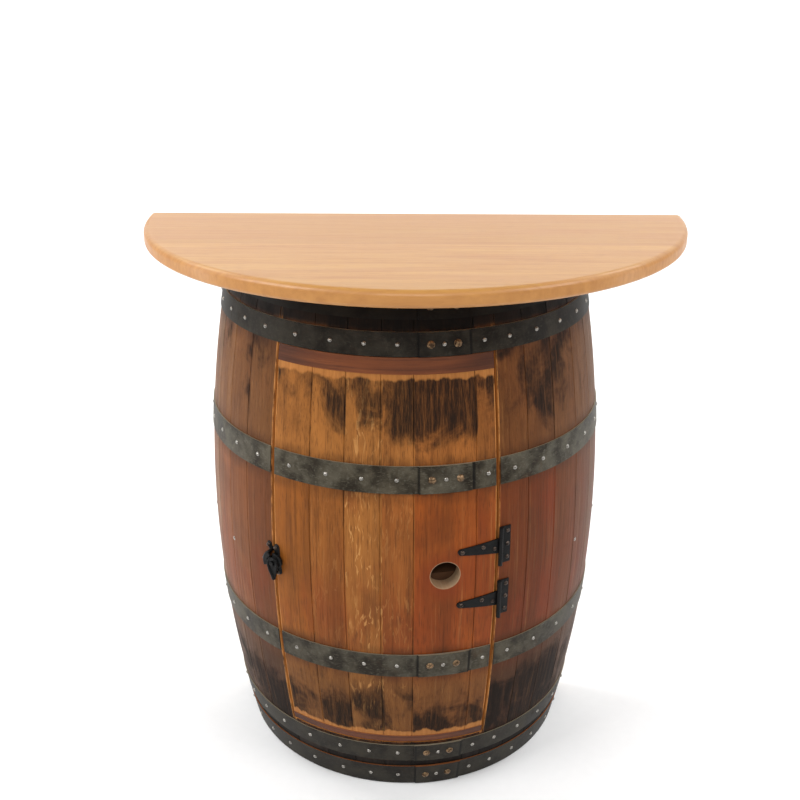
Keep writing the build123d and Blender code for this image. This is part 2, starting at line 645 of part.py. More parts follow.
def door_batten(z):
    """A cleat inside the door that holds its staves together."""
    inner = -STAVE_THICKNESS - BATTEN_THICKNESS
    return layer(inner, -STAVE_THICKNESS, z - BATTEN_HEIGHT / 2, z + BATTEN_HEIGHT / 2,
                 DOOR_LEFT + DOOR_BATTEN_END, DOOR_RIGHT - DOOR_BATTEN_END)


# ---- All nodes -----------------------------------------------------------------------------------------
nodes = {}
left_joints = LEFT_STAVES + [OPENING_LEFT]
right_joints = [OPENING_RIGHT] + RIGHT_STAVES
opening_joints = [OPENING_LEFT] + DOOR_STAVES + [OPENING_RIGHT]
door_joints = [DOOR_LEFT] + DOOR_STAVES + [DOOR_RIGHT]

for i, piece in enumerate(reversed(staves(0, BARREL_HEIGHT, left_joints, frame_fasteners)), 1):
    nodes[f"stave_left_{i}"] = front_of(piece, -PANEL_THICKNESS)
for i, piece in enumerate(staves(0, BARREL_HEIGHT, right_joints, frame_fasteners), 1):
    nodes[f"stave_right_{i}"] = front_of(piece, -PANEL_THICKNESS)
nodes["header_staves"] = staves(OPENING_TOP, BARREL_HEIGHT, opening_joints, frame_fasteners)
nodes["sill_staves"] = staves(0, OPENING_BOTTOM, opening_joints, frame_fasteners)

fixed_fasteners = frame_hoop_screws + frame_rivets
nodes["head_hoop"] = hoop_piece(HEAD_HOOP, -90, 90, fixed_fasteners)
nodes["upper_quarter_hoop"] = hoop_piece(UPPER_QUARTER_HOOP, -90, 90, fixed_fasteners)
nodes["lower_quarter_hoop"] = hoop_piece(LOWER_QUARTER_HOOP, -90, 90, fixed_fasteners)
nodes["foot_hoop"] = hoop_piece(FOOT_HOOP, -90, 90, fixed_fasteners)
for name, hoop in (("upper_bilge_hoop", UPPER_BILGE_HOOP), ("lower_bilge_hoop", LOWER_BILGE_HOOP)):
    for side, piece in zip(("left", "door", "right"), bilge_hoop(hoop)):
        nodes[f"{name}_{side}"] = piece
nodes["hoop_screws"] = frame_hoop_screws
nodes["hoop_rivets"] = frame_rivets

nodes["top_head"] = head(TOP_HEAD_Z)
nodes["bottom_head"] = head(BOTTOM_HEAD_Z)
nodes["back_panel"] = back_panel()
nodes["panel_screws"] = panel_screws
nodes["shelf"] = shelf()
nodes["shelf_screws"] = shelf_screws
nodes["shelf_bottle_rails"] = rack(SHELF_Z + SHELF_THICKNESS, SHELF_BOTTLES)
nodes["floor_bottle_rails"] = rack(BOTTOM_HEAD_Z + HEAD_THICKNESS, FLOOR_BOTTLES)

for i, piece in enumerate(top_boards(), 1):
    nodes[f"top_board_{i}"] = piece
nodes["top_bearers"] = bearers()
nodes["bearer_screws"] = bearer_screws

nodes["hinge_leaves"] = [cut(hinge_leaf(h), leaf_screws) for h in HINGE_HEIGHTS]
nodes["hinge_pins"] = [hinge_pin(h) for h in HINGE_HEIGHTS]
nodes["latch_keeper"] = cut(latch_keeper(), keeper_screws)
nodes["frame_hardware_screws"] = leaf_screws + keeper_screws

rail_joint_low = DOOR_BOTTOM + BOTTOM_RAIL_HEIGHT
rail_joint_high = DOOR_TOP - TOP_RAIL_HEIGHT
for i, piece in enumerate(staves(rail_joint_low, rail_joint_high, door_joints, door_fasteners), 1):
    nodes[f"door_stave_{i}"] = cut(piece, [bung])
nodes["door_top_rail"] = door_rail(rail_joint_high, DOOR_TOP)
nodes["door_bottom_rail"] = door_rail(DOOR_BOTTOM, rail_joint_low)
nodes["door_battens"] = [door_batten(z) for z in DOOR_BATTENS]
nodes["door_hoop_screws"] = door_hoop_screws
nodes["door_hoop_rivets"] = door_rivets
nodes["hinge_straps"] = [cut(hinge_strap(h), strap_screws) for h in HINGE_HEIGHTS]
nodes["latch_base"] = cut(latch_base(), base_screws)
nodes["door_hardware_screws"] = strap_screws + base_screws
nodes["latch_lever"] = latch_lever()

os.makedirs("parts", exist_ok=True)
to_centre = Pos(-TOP_OFFSET_X, TOP_RADIUS / 2, 0)
for name, pieces in nodes.items():
    solids = [s for piece in (pieces if isinstance(pieces, list) else [pieces]) for s in piece.solids()]
    export_step(to_centre * Compound(children=solids), f"parts/{name}.step")

shift = Vector(-TOP_OFFSET_X, TOP_RADIUS / 2, 0)
bung_place = surface_plane(BUNG_ANGLE, BUNG_HEIGHT)
print("hinge axis", upright_plane(HINGE_ANGLE, 0, HINGE_RADIUS).origin + shift)
print("latch pivot", latch_plane.origin + shift, latch_plane.z_dir)
print("bung", bung_place.origin + shift, bung_place.z_dir)
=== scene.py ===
import json
import math

import bmesh
import bpy
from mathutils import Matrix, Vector


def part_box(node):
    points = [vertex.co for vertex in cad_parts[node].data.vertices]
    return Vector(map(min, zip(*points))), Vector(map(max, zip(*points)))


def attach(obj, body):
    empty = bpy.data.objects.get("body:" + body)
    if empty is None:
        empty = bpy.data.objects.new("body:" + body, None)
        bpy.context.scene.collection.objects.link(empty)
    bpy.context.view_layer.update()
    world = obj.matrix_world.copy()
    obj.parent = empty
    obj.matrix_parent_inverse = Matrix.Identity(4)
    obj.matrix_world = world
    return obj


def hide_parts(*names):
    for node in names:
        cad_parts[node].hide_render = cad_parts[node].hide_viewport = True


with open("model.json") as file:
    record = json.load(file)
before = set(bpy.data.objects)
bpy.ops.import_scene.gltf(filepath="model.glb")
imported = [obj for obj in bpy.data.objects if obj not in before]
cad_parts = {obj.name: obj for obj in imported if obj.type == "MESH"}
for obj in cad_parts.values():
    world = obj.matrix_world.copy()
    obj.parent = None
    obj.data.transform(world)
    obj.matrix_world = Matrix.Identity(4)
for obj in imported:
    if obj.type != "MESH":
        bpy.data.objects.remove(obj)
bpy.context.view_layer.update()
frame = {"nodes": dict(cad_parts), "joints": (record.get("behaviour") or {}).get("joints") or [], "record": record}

# ---- Where things are ------------------------------------------------------------------------
# The barrel is cut in half through its axis, which lies in the back face of the back panel.
# Angles go round that axis from the front, positive to the right, in degrees.
panel_low, panel_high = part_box("back_panel")
AXIS = Vector(((panel_low[0] + panel_high[0]) / 2, panel_high[1], 0))
BILGE = (panel_high[0] - panel_low[0]) / 2      # the barrel's largest radius
# Where each stave starts, left to right
STAVE_JOINTS = [-90, -78.6, -67.6, -57.4, -47.8, -36.85, -24.9, -15.1, -5.5, 3.2, 19.9, 26.05,
                35.8, 46, 57, 67.6, 78.8]
# For each stave, left to right: its colour between the two bilge hoops, then how black its top
# zone and its bottom zone are, and how much ray fleck it shows. The paler, greyer colours of the outermost staves
# are partly painted sheen.
STAVES = [((158, 128, 104), .20, .55, 0), ((150, 112, 82), .25, .60, 0), ((136, 86, 50), .20, .55, 0),
          ((124, 72, 36), .30, .62, 0), ((108, 60, 28), .35, .72, 0),
          ((148, 86, 30), .46, .50, 0), ((148, 88, 36), .58, .72, .15), ((164, 104, 48), .50, .62, 1),
          ((152, 88, 38), .74, .52, .25), ((156, 80, 28), .95, .58, 0), ((150, 76, 28), .55, .48, 0),
          ((112, 54, 22), .50, .66, 0), ((106, 52, 20), .66, .70, 0), ((104, 56, 26), .44, .62, 0),
          ((104, 62, 38), .30, .55, 0), ((106, 70, 48), .25, .50, 0), ((108, 76, 54), .20, .50, 0)]
LAP = (4.55, 18.9)              # where every hoop's riveted lap starts and ends
DOOR_EDGES = (-36.85, 26.05)    # the middle of the gaps beside the door


def box_z(node):
    low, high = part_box(node)
    return low[2], high[2]


DOOR_LOW, DOOR_HIGH = box_z("door_stave_1")
HOOPS = [box_z(hoop) for hoop in ("upper_quarter_hoop", "upper_bilge_hoop_door", "lower_bilge_hoop_door",
                                  "lower_quarter_hoop")]
bung = next(m for m in frame["record"]["mounts"] if m["name"] == "bung_hole")
BUNG_CENTRE = Vector(bung["pos_m"])
BUNG_AXIS = Vector(bung["axis"])
BUNG_RADIUS = bung["dims"]["r_mm"] / 1000


def paint(r, g, b):
    """A colour as it looks on a screen, 0 to 255, in the linear values that shaders take."""
    def linear(c):
        c = c / 255
        return c / 12.92 if c <= 0.04045 else ((c + 0.055) / 1.055) ** 2.4
    return (linear(r), linear(g), linear(b), 1)


# ---- Shader helpers ----------------------------------------------------------------------------
class Field:
    """What varies over a surface.  Python's operators add Math nodes to its finish."""

    def __init__(self, finish, socket):
        self.finish = finish
        self.socket = socket

    def math(self, operation, *values):
        return self.finish.node("Math", {"operation": operation}, values)

    def __add__(self, other):
        return self.math("ADD", self, other)

    def __radd__(self, other):
        return self.math("ADD", other, self)

    def __sub__(self, other):
        return self.math("SUBTRACT", self, other)

    def __rsub__(self, other):
        return self.math("SUBTRACT", other, self)

    def __mul__(self, other):
        return self.math("MULTIPLY", self, other)

    def __rmul__(self, other):
        return self.math("MULTIPLY", other, self)

    def __truediv__(self, other):
        return self.math("DIVIDE", self, other)


class Finish:
    """A material, with one method that adds any node to it."""

    def __init__(self, name):
        self.material = bpy.data.materials.new(name)
        self.material.use_nodes = True
        self.tree = self.material.node_tree
        self.shader = self.tree.nodes["Principled BSDF"]

    def node(self, kind, settings, inputs, out=0):
        node = self.tree.nodes.new("ShaderNode" + kind)
        for name, value in settings.items():
            if name == "stops":
                self.set_steps(node.color_ramp, value)
            else:
                setattr(node, name, value)
        self.fill(node, inputs)
        return Field(self, node.outputs[out])

    def fill(self, node, inputs):
        pairs = inputs.items() if isinstance(inputs, dict) else enumerate(inputs)
        for key, value in pairs:
            if isinstance(value, Field):
                self.tree.links.new(value.socket, node.inputs[key])
            else:
                node.inputs[key].default_value = value

    @staticmethod
    def set_steps(ramp, stops):
        ramp.interpolation = "CONSTANT"
        while len(ramp.elements) < len(stops):
            ramp.elements.new(1.0)
        for element, (place, colour) in zip(ramp.elements, stops):
            element.position = place
            element.color = colour

    def surface(self, **inputs):
        """Sets the shader's sockets, written with _ for the spaces in their names."""
        self.fill(self.shader, {name.replace("_", " "): value for name, value in inputs.items()})
        return self.material

    # What the finishes share
    def place(self):
        return self.node("TexCoord", {}, {}, out="Object")

    def facing(self):
        return self.node("TexCoord", {}, {}, out="Normal")

    def parts_of(self, vector):
        split = self.node("SeparateXYZ", {}, [vector]).socket.node
        return [Field(self, split.outputs[i]) for i in range(3)]

    def vector(self, x, y, z):
        return self.node("CombineXYZ", {}, [x, y, z])

    def step(self, value, low, high):
        """0 below low and 1 above high, or the other way round when low is the larger."""
        return self.node("MapRange", {"interpolation_type": "SMOOTHSTEP"},
                         {"Value": value, "From Min": low, "From Max": high})

    def noise(self, vector, scale=1.0, detail=3.0, rough=0.5, twist=0.0):
        return self.node("TexNoise", {}, {"Vector": vector, "Scale": scale, "Detail": detail,
                                          "Roughness": rough, "Distortion": twist})

    def mix(self, factor, first, second):
        return self.node("Mix", {"data_type": "RGBA"}, {0: factor, 6: first, 7: second}, out=2)

    def steps(self, value, stops):
        """A ramp that jumps from one colour to the next."""
        return self.node("ValToRGB", {"stops": stops}, [value])

    def bump(self, height, strength, distance):
        return self.node("Bump", {}, {"Strength": strength, "Distance": distance, "Height": height})


def larger(a, b):
    return a.math("MAXIMUM", a, b)


def unrolled(f):
    """Angle from the front in degrees, distance from the axis, height, and all three in metres."""
    x, y, z = f.parts_of(f.place())
    right = x - AXIS.x
    front = AXIS.y - y
    angle = right.math("ARCTAN2", right, front)
    radius = right.math("SQRT", right * right + front * front)
    return angle * math.degrees(1), radius, z, f.vector(angle * BILGE, radius, z)


def outward(f):
    """How much the surface faces away from the barrel's axis, and how much it faces up."""
    x, y, _ = f.parts_of(f.place())
    nx, ny, nz = f.parts_of(f.facing())
    right = x - AXIS.x
    front = AXIS.y - y
    radius = right.math("SQRT", right * right + front * front)
    return (nx * right - ny * front) / radius, nz


# ---- Barrel wood ---------------------------------------------------------------------------------
DARK_GRAIN = paint(70, 38, 16)
PALE_GRAIN = paint(196, 140, 80)
RAW = paint(206, 140, 74)
RAW_SHADE = paint(150, 92, 46)
CHERRY = paint(122, 48, 18)
SOOT = paint(13, 11, 9)
DIRT_AND_SHADE = paint(16, 12, 9)
WINE = paint(60, 24, 22)
CASK_INSIDE = paint(40, 26, 17)
CUT_WOOD = paint(176, 166, 140)
# What the staves turn to in their top zone and in their foot zone
DOOR_BROWNS = (paint(178, 118, 58), paint(118, 78, 38))
FRAME_BROWNS = (paint(112, 76, 38), paint(54, 39, 20))
# The heights between which each of the barrel's changes sets in
RED_BELOW, RED_ABOVE = (0.50, 0.36), (0.24, 0.30)
TOP_BROWN, FOOT_BROWN = (0.585, 0.65), (0.305, 0.22)
TOP_SOOT, FOOT_SOOT = (0.60, 0.75), (0.29, 0.17)
TOP_CHIME, FOOT_CHIME = (0.838, 0.850), (0.066, 0.056)
SAWN_ABOVE = (0.100, 0.104)
HOOP_SHADOW_BELOW, HOOP_SHADOW_ABOVE = 0.026, 0.022     # how far the painted shade and grime beside a hoop reach
RAGGED = 0.030                                          # how much the scraped strips wander


def grain(f, along, across, depth, seed):
    """Three scales of oak grain: broad figure, streaks and pores."""
    figure = f.noise(f.vector(across * 26.0 + seed, depth * 20.0, along * 1.6), 1.0, 3.0, 0.55, 0.6)
    streak = f.noise(f.vector(across * 190.0, depth * 90.0 + seed, along * 3.5), 1.0, 4.0, 0.62, 0.2)
    pore = f.noise(f.vector(across * 700.0, depth * 500.0, along * 22.0 + seed), 1.0, 2.0, 0.6)
    return figure, streak, pore


def coloured_by_stave(f, angle):
    """Each stave's colour, partly painted sheen on the outermost staves, then how black its top and its foot are,
    and how flecked it is.
    """
    turn = angle / 180.0 + 0.5
    places = [(joint + 90) / 180 for joint in STAVE_JOINTS]
    colour = f.steps(turn, [(at, paint(*look[0])) for at, look in zip(places, STAVES)])
    looks = f.steps(turn, [(at, (*look[1:], 1)) for at, look in zip(places, STAVES)])
    split = f.node("SeparateColor", {}, [looks]).socket.node
    return [colour] + [Field(f, split.outputs[i]) for i in range(3)]


def aged(f, colour, z, patch, top_brown, foot_brown):
    """Warm red patches, mostly low between the bilge hoops, and browner zones at both ends."""
    low = f.step(z, *RED_BELOW) * f.step(z, *RED_ABOVE)
    colour = f.mix(f.step(patch + low * 0.12, 0.48, 0.70) * 0.55, colour, CHERRY)
    colour = f.mix(f.step(z, *TOP_BROWN) * (0.40 + patch * 0.35), colour, top_brown)
    return f.mix(f.step(z, *FOOT_BROWN) * (0.55 + patch * 0.45), colour, foot_brown)


def ray_fleck(f, around, z, cloud, seed, flecked):
    """Short, pale, wavering strokes."""
    waver = f.noise(f.vector(around * 30.0, seed, z * 26.0), 1.0, 2.0, 0.5) * 3.0
    strokes = f.noise(f.vector(around * 190.0 + waver, seed, z * 36.0 - around * 30.0),
                      1.0, 2.0, 0.55, 0.9)
    return f.step(strokes, 0.56, 0.64) * f.step(cloud, 0.36, 0.56) * flecked


def hoop_shade_and_grime(f, z):
    """Where the wood lies just above or below a hoop, for the painted shade and grime there."""
    shadows = [f.step(z, low - HOOP_SHADOW_BELOW, low) * f.step(z, high + HOOP_SHADOW_ABOVE, high)
               for low, high in HOOPS]
    beside = shadows[0]
    for shadow in shadows[1:]:
        beside = larger(beside, shadow)
    return beside


def scraped_ends(f, around, z, seed):
    """The ragged strips of raw wood along the rails, at both ends of the door's staves."""
    wander = f.noise(f.vector(around * 34.0, seed, z * 9.0), 1.0, 4.0, 0.6)
    ragged = wander * RAGGED - RAGGED / 2
    return larger(f.step(z + ragged, DOOR_HIGH - 0.012, DOOR_HIGH - 0.007),
                  f.step(z + ragged, DOOR_LOW + 0.012, DOOR_LOW + 0.007))


def with_bung_hole(f, colour, cloud, wipe, inside):
    """The bung hole's pale wall, and the redder wood that wine has stained round it."""
    off = f.node("VectorMath", {"operation": "SUBTRACT"}, [f.place(), tuple(BUNG_CENTRE)])
    along = f.node("VectorMath", {"operation": "DOT_PRODUCT"}, [off, tuple(BUNG_AXIS)], out="Value")
    length = f.node("VectorMath", {"operation": "LENGTH"}, [off], out="Value")
    reach = along.math("SQRT", length * length - along * along)
    bore = f.step(reach, BUNG_RADIUS + 0.0012, BUNG_RADIUS + 0.0002)
    ring = f.step(reach + cloud * 0.02, BUNG_RADIUS + 0.045, BUNG_RADIUS + 0.008)
    colour = f.mix(ring * 0.5 * (1.0 - inside), colour, CHERRY)
    return f.mix(bore, colour, f.mix(wipe, CUT_WOOD, RAW_SHADE))


def stave_oak(name, on_door):
    """Old oak staves: grain, grime, soot and painted shade outside, wine inside, raw wood where they were cut."""
    f = Finish(name)
    angle, radius, z, sheet = unrolled(f)
    around, _, _ = f.parts_of(sheet)
    colour, black_top, black_foot, flecked = coloured_by_stave(f, angle)
    seed = black_top * 37.0 + black_foot * 53.0
    figure, streak, pore = grain(f, z, around, radius, seed)
    cloud = f.noise(f.vector(around * 15.0 + seed, radius, z * 12.0), 1.0, 7.0, 0.60, 0.5)
    wipe = f.noise(f.vector(around * 60.0, radius, z * 26.0 + seed), 1.0, 5.0, 0.7)
    patch = f.noise(f.vector(around * 8.0 + seed, radius, z * 3.5), 1.0, 4.0, 0.6, 0.4)

    colour = aged(f, colour, z, patch, *(DOOR_BROWNS if on_door else FRAME_BROWNS))
    colour = f.mix(f.step(figure, 0.42, 0.70) * 0.35, colour, DARK_GRAIN)
    colour = f.mix(f.step(streak, 0.44, 0.22) * 0.22, colour, PALE_GRAIN)
    colour = f.mix(f.step(streak, 0.52, 0.76) * 0.55, colour, DARK_GRAIN)
    colour = f.mix(f.step(pore, 0.52, 0.70) * 0.55, colour, DARK_GRAIN)
    colour = f.mix(ray_fleck(f, around, z, cloud, seed, flecked) * 0.85, colour, PALE_GRAIN)

    # old grime in patches, and painted shade with grime along every hoop
    grime = f.step(f.noise(f.vector(around * 6.0, seed, z * 6.0), 1.0, 6.0, 0.66, 0.4), 0.46, 0.70)
    colour = f.mix(grime * 0.34, colour, DARK_GRAIN)
    colour = f.mix(hoop_shade_and_grime(f, z) * (0.15 + 0.55 * f.step(cloud, 0.35, 0.60)), colour, DARK_GRAIN)

    # soot: drifts near both ends, thickest just inside the rails
    drift = cloud * 0.80 + wipe * 0.20
    amount = larger(f.step(z, *TOP_SOOT) * black_top, f.step(z, *FOOT_SOOT) * black_foot)
    haze = f.step(drift + amount * 0.40, 0.50, 0.78) * f.step(amount, 0.02, 0.30)
    black = f.step(drift + amount * 0.44, 0.64, 0.82) * f.step(amount, 0.02, 0.22)
    shows_through = f.step(streak, 0.56, 0.34) * 0.30 + f.step(pore, 0.50, 0.40) * 0.12
    colour = f.mix(haze * 0.35, colour, DARK_GRAIN)
    colour = f.mix(black * (0.90 - shows_through), colour, SOOT)
    if on_door:
        bare = scraped_ends(f, around, z, seed)
        colour = f.mix(bare * 0.8, colour, f.mix(streak, RAW, RAW_SHADE))
        black = black * (1.0 - bare)

    # the door was sawn out, which leaves raw wood beside its gaps, and the chimes are painted near-black: painted
    # shade under the top and at the foot, and dirt
    left_edge, right_edge = [angle.math("ABSOLUTE", angle - edge) for edge in DOOR_EDGES]
    sawn = larger(f.step(left_edge, 0.85, 0.62), f.step(right_edge, 0.80, 0.60))
    sawn = sawn * f.step(z, *SAWN_ABOVE) * f.step(wipe, 0.35, 0.60)
    colour = f.mix(sawn * 0.8, colour, RAW)
    chime_grime_and_shade = larger(f.step(z, *TOP_CHIME), f.step(z, *FOOT_CHIME))
    colour = f.mix(chime_grime_and_shade * 0.93, colour, DIRT_AND_SHADE)

    # sawn edges are raw, the eased joints hold some dirt, and the inside is stained by wine
    out, _ = outward(f)
    side = 1.0 - f.step(out, 0.10, 0.30)
    eased = f.step(out, 0.30, 0.40) * (1.0 - f.step(out, 0.85, 0.95))
    inside = f.step(out, -0.5, -0.7)
    colour = f.mix(side, colour, f.mix(streak * 0.6, RAW, RAW_SHADE))
    colour = f.mix(eased * (0.05 + 0.55 * f.step(cloud, 0.42, 0.66)), colour, DIRT_AND_SHADE)
    colour = f.mix(inside, colour, f.mix(figure, WINE, CASK_INSIDE))
    if on_door:
        colour = with_bung_hole(f, colour, cloud, wipe, inside)
    height = streak * 0.6 + pore * 0.4 + cloud * 0.3
    return f.surface(Base_Color=colour, Roughness=0.40 + 0.22 * streak + 0.18 * black,
                     Specular_IOR_Level=0.14, Normal=f.bump(height, 0.45, 0.0016))


def rail_wood(name):
    """The red-brown strips across the door's ends, with the grain running round the barrel."""
    f = Finish(name)
    angle, radius, z, sheet = unrolled(f)
    around, _, _ = f.parts_of(sheet)
    figure, streak, pore = grain(f, around, z, radius, 11.0)
    colour = f.mix(f.step(figure, 0.3, 0.7), paint(96, 50, 26), paint(140, 78, 40))
    colour = f.mix(f.step(streak, 0.46, 0.74) * 0.65, colour, paint(60, 30, 18))
    colour = f.mix(f.step(pore, 0.55, 0.72) * 0.4, colour, paint(50, 24, 14))
    ends = larger(f.step(angle, -20.0, -34.0), f.step(angle, 10.0, 24.0))
    colour = f.mix(ends * 0.6, colour, paint(50, 26, 16))
    out, _ = outward(f)
    colour = f.mix(1.0 - f.step(out, 0.2, 0.5), colour, paint(150, 92, 54))
    return f.surface(Base_Color=colour, Roughness=0.42 + 0.25 * streak, Specular_IOR_Level=0.3,
                     Normal=f.bump(streak + pore, 0.25, 0.0008))


def top_oak(name, seed):
    """Clear-coated oak boards, with the grain running the length of the back edge."""
    f = Finish(name)
    x, y, z = f.parts_of(f.place())
    wander = f.noise(f.vector(x * 2.2 + seed, y * 5.0, z), 1.0, 2.0, 0.5)
    across = y + wander * 0.020
    figure = f.noise(f.vector(x * 2.4 + seed, across * 34.0, z * 12.0), 1.0, 3.0, 0.5, 0.8)
    streak = f.noise(f.vector(x * 6.0, across * 190.0 + seed, z * 60.0), 1.0, 4.0, 0.6)
    pore = f.noise(f.vector(x * 38.0 + seed, y * 1100.0, z * 700.0), 1.0, 2.0, 0.6)
    board = f.noise(f.vector(seed, seed, seed), 1.0, 0.0)
    pale = f.mix(f.step(board, 0.3, 0.7), paint(198, 146, 78), paint(186, 134, 68))
    colour = f.mix(f.step(figure, 0.30, 0.72) * 0.7, pale, paint(182, 124, 66))
    colour = f.mix(f.step(streak, 0.48, 0.78) * 0.5, colour, paint(176, 118, 66))
    colour = f.mix(f.step(pore, 0.55, 0.70) * 0.45, colour, paint(150, 96, 52))
    _, _, up = f.parts_of(f.facing())
    edge = 1.0 - f.step(up, 0.45, 0.95)
    colour = f.mix(edge * 0.75, colour, f.mix(streak, paint(212, 152, 84), paint(160, 100, 48)))
    return f.surface(Base_Color=colour, Roughness=0.36 + 0.16 * streak, Coat_Weight=0.15,
                     Coat_Roughness=0.15, Normal=f.bump(pore + streak * 0.5, 0.12, 0.0006))


def plain_oak(name, pale, dark):
    """Bare sawn oak for what is inside."""
    f = Finish(name)
    x, y, z = f.parts_of(f.place())
    figure = f.noise(f.vector(x * 3.0, y * 30.0, z * 30.0), 1.0, 3.0, 0.5, 0.5)
    streak = f.noise(f.vector(x * 10.0, y * 220.0, z * 220.0), 1.0, 3.0, 0.6)
    colour = f.mix(figure, pale, dark)
    colour = f.mix(f.step(streak, 0.5, 0.8) * 0.4, colour, DARK_GRAIN)
    return f.surface(Base_Color=colour, Roughness=0.6 + 0.2 * streak, Normal=f.bump(streak, 0.2, 0.0008))


# ---- Metal ---------------------------------------------------------------------------------------
# How dark each hoop is painted, from clean steel at 0 to black at 1: painted shade under the top and near the
# floor, and dirt
HOOP_SHADE_AND_DIRT = [("upper_bilge_hoop", 0.06), ("lower_bilge_hoop", 0.22), ("head_hoop", 0.90),
             ("upper_quarter_hoop", 0.72), ("lower_quarter_hoop", 0.72), ("foot_hoop", 0.75)]


def hoop_steel(name, dimmed_by_shade_and_dirt, rusty):
    """Weathered galvanised strip: soft mottling, stains, darkening by painted shade and dirt, and top edges
    painted pale with a painted highlight and wear, or rusty on the foot hoop.

    Painted shade, with some dirt, lies against both ends of the lap that the rivets hold."""
    f = Finish(name)
    angle, radius, z, sheet = unrolled(f)
    mottle = f.noise(sheet, 24.0, 5.0, 0.60)
    spangle = f.noise(sheet, 150.0, 3.0, 0.6)
    drift = f.noise(sheet, 7.0, 3.0, 0.5, 0.5)
    scratch = f.noise(f.vector(angle * 0.9, radius, z * 900.0), 1.0, 2.0, 0.5)
    light = f.mix(drift, paint(100, 90, 72), paint(82, 82, 74))
    colour = f.mix(f.step(mottle, 0.34, 0.66), paint(44, 38, 29), light)
    colour = f.mix(f.step(spangle, 0.52, 0.78) * 0.35, colour, paint(128, 124, 110))
    colour = f.mix(f.step(scratch, 0.58, 0.72) * 0.25, colour, paint(140, 132, 114))
    stain = f.step(f.noise(sheet, 15.0, 4.0, 0.7, 1.0), 0.58, 0.72)
    colour = f.mix(stain * 0.5, colour, paint(70, 50, 30))
    # painted shade and dirt: hoops under the top and near the floor are darkened toward black
    colour = f.mix(dimmed_by_shade_and_dirt, colour, paint(17, 12, 8))
    # painted shade, with some dirt: dark lines along both ends of the riveted lap
    before = f.step(angle, LAP[0] - 0.7, LAP[0]) * f.step(angle, LAP[0] + 0.45, LAP[0] + 0.15)
    after = f.step(angle, LAP[1] + 0.9, LAP[1] + 0.2) * f.step(angle, LAP[1] - 0.45, LAP[1] - 0.10)
    colour = f.mix(larger(before * 0.75, after * 0.85), colour, paint(12, 9, 7))
    # painted highlight and wear: upward-facing edges are painted pale; on the foot hoop they are rust
    _, up = outward(f)
    edge = f.step(up, 0.45, 0.8)
    colour = f.mix(edge * 0.8, colour, paint(150, 88, 48) if rusty else paint(150, 138, 116))
    rough = 0.40 + 0.25 * mottle + 0.1 * stain
    metallic = (0.45 - 0.3 * stain) * (1.0 - 0.7 * dimmed_by_shade_and_dirt)
    return f.surface(Base_Color=colour, Metallic=metallic, Roughness=rough, Specular_IOR_Level=0.2,
                     Normal=f.bump(mottle + scratch * 0.3, 0.35, 0.0010))


def metal(name, first, second, metallic, rough, scale):
    """A cast, plated or painted piece, clouded from one colour to the other."""
    f = Finish(name)
    cloud = f.noise(f.place(), scale, 4.0, 0.6)
    colour = f.mix(f.step(cloud, 0.35, 0.65), first, second)
    return f.surface(Base_Color=colour, Metallic=metallic, Roughness=rough + 0.15 * cloud,
                     Specular_IOR_Level=0.18, Normal=f.bump(cloud, 0.25, 0.0006))


def dress(nodes, material):
    """Gives the nodes that come from the frame their material."""
    for node in nodes:
        for slot in frame["nodes"][node].material_slots:
            slot.material = material


def named(start):
    return [node for node in frame["nodes"] if node.startswith(start)]


dress(named("stave_") + ["header_staves", "sill_staves"], stave_oak("frame_stave_oak", False))
dress(named("door_stave_"), stave_oak("door_stave_oak", True))
dress(["door_top_rail", "door_bottom_rail"], rail_wood("door_rail_wood"))
for i, node in enumerate(named("top_board_")):
    dress([node], top_oak(f"top_oak_{i + 1}", 13.7 * (i + 1)))
for hoop, dimmed_by_shade_and_dirt in HOOP_SHADE_AND_DIRT:
    dress(named(hoop), hoop_steel(f"{hoop}_steel", dimmed_by_shade_and_dirt, hoop == "foot_hoop"))
dress(["hoop_rivets", "door_hoop_rivets"],
      metal("hoop_rivet", paint(58, 44, 32), paint(150, 122, 92), 0.7, 0.32, 260.0))
dress(["hoop_screws", "door_hoop_screws", "shelf_screws", "panel_screws", "bearer_screws"],
      metal("zinc_screw", paint(110, 106, 100), paint(190, 186, 178), 0.9, 0.22, 500.0))
black_iron = metal("black_iron", paint(5, 5, 5), paint(16, 16, 16), 0.0, 0.40, 300.0)
dress(["hinge_leaves", "hinge_straps", "hinge_pins"], black_iron)
dress(["frame_hardware_screws", "door_hardware_screws"],
      metal("black_screw", paint(50, 43, 39), paint(92, 80, 72), 0.9, 0.22, 200.0))
# the inner oak's dark tones are partly painted shade, for the dark inside of the closed barrel
dress(["top_head", "bottom_head", "shelf", "door_battens", "top_bearers", "shelf_bottle_rails",
       "floor_bottle_rails"], plain_oak("inner_oak", paint(104, 70, 42), paint(72, 46, 26)))
dress(["back_panel"], plain_oak("birch_plywood", paint(206, 168, 120), paint(186, 144, 96)))


# ---- Latch castings --------------------------------------------------------------------------------
lever_pivot = next(joint for joint in frame["joints"] if joint["name"] == "lever_pivot")
OUT = Vector(lever_pivot["axis"]).normalized()
RIGHT = Vector((0, 0, 1)).cross(OUT).normalized()
UP = OUT.cross(RIGHT)
PIVOT = Vector(lever_pivot["pos_m"])
BALL_SPACING = 0.9      # mm between two balls of a stroke
MELT_SIZE = 0.0005      # how fine a casting's skin is, in metres


def round_pivot(radius, out, ball, start=0, end=360):
    """A stroke round the latch's pivot."""
    steps = 48
    angles = [math.radians(start + (end - start) * i / steps) for i in range(steps + 1)]
    return [(radius * math.cos(a), radius * math.sin(a), out, ball) for a in angles]


